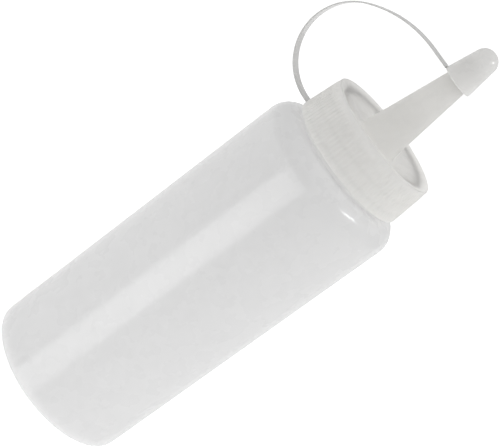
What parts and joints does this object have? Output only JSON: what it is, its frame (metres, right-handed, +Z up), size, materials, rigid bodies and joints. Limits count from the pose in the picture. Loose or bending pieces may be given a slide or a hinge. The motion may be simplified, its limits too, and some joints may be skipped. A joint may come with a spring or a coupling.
{
  "type": "glue applicator bottle",
  "caption": "Soft squeeze bottle with a ribbed screw cap, a long tapered nozzle and a small tip cap held by a flat tether strap.",
  "frame": {"origin": "centre of the base ring, on the surface that the bottle stands on", "axes": "+Z up along the bottle's axis towards the nozzle, -X towards the tether strap"},
  "size_m": [0.0653, 0.052, 0.1658],
  "materials": {
    "bottle_polyethylene": "satin, translucent natural polyethylene",
    "cap_polyethylene": "satin, translucent natural polyethylene",
    "seal_foam": "matt white foamed polyethylene"
  },
  "bodies": {
    "bottle": {"bottle": "bottle_polyethylene"},
    "seal": {"seal_ring": "seal_foam"},
    "cap": {"screw_cap": "cap_polyethylene", "tether_strap": "cap_polyethylene"},
    "tip": {"tip_cap": "cap_polyethylene"}
  },
  "joints": [
    {"name": "cap_lift", "type": "slide", "parent": "bottle", "child": "seal", "axis": [0, 0, 1], "range_m": [0, 0.00634]},
    {"name": "cap_turn", "type": "hinge", "parent": "seal", "child": "cap", "pos_m": [0, 0, 0.12], "axis": [0, 0, 1], "range_deg": [0, 540]},
    {"name": "tip_cap_pull", "type": "slide", "parent": "cap", "child": "tip", "axis": [0, 0, 1], "range_m": [0, 0.02], "deforming": ["tether_strap"]}
  ],
  "couplings": [
    {"joint": "cap_turn", "follows": "cap_lift", "rad_per_m": 1485.4}
  ]
}
